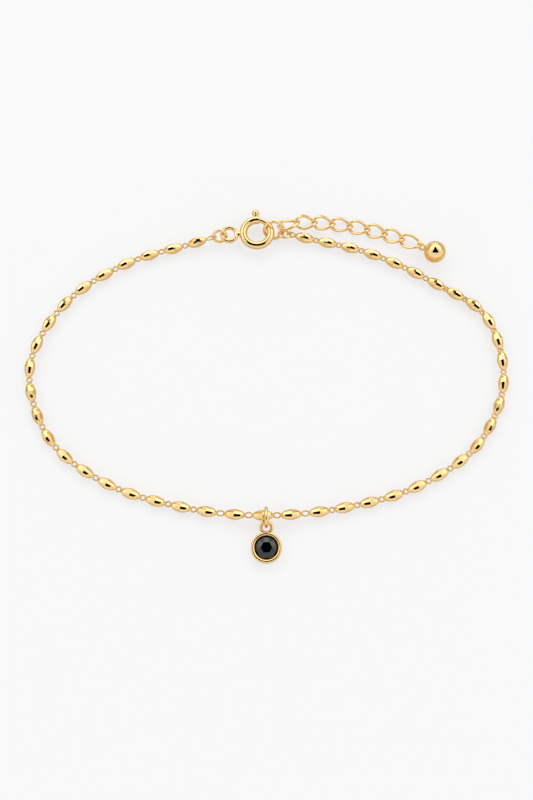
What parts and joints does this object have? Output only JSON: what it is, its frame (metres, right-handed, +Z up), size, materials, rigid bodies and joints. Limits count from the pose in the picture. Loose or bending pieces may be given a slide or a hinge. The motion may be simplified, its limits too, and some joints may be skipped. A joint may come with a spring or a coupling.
{
  "type": "anklet",
  "caption": "Gold-coloured chain anklet of long spindle beads with a spring ring clasp, an extender chain that ends in a ball, and a round bezel charm with a faceted black stone",
  "frame": {"origin": "middle of the anklet's box at the level of the table it lies on", "axes": "+Z up from the table, +X along the longest extent, with the extender and its ball towards +X; -Y towards the charm and +Y towards the clasp"},
  "size_m": [0.0908, 0.0682, 0.0041],
  "materials": {
    "gold": "polished yellow gold plate",
    "stone": "polished black faceted stone"
  },
  "bodies": {
    "anklet": {"chain_left": "gold", "chain_right": "gold", "left_end_ring": "gold", "right_end_ring": "gold", "clasp_tube": "gold", "tag_ring": "gold", "extender_link_1": "gold", "extender_link_2": "gold", "extender_link_3": "gold", "extender_link_4": "gold", "extender_link_5": "gold", "extender_link_6": "gold", "extender_link_7": "gold", "extender_link_8": "gold", "extender_ball": "gold", "charm_ring": "gold", "charm_setting": "gold", "charm_stone": "stone"},
    "bolt": {"clasp_bolt": "gold"}
  },
  "joints": [
    {"name": "clasp_opening", "type": "hinge", "parent": "anklet", "child": "bolt", "pos_m": [-0.00181, 0.02927, 0.00172], "axis": [0, 0, 1], "range_deg": [0, 46], "stiffness_Nm_per_rad": 0.001, "springref_deg": -28.65}
  ]
}
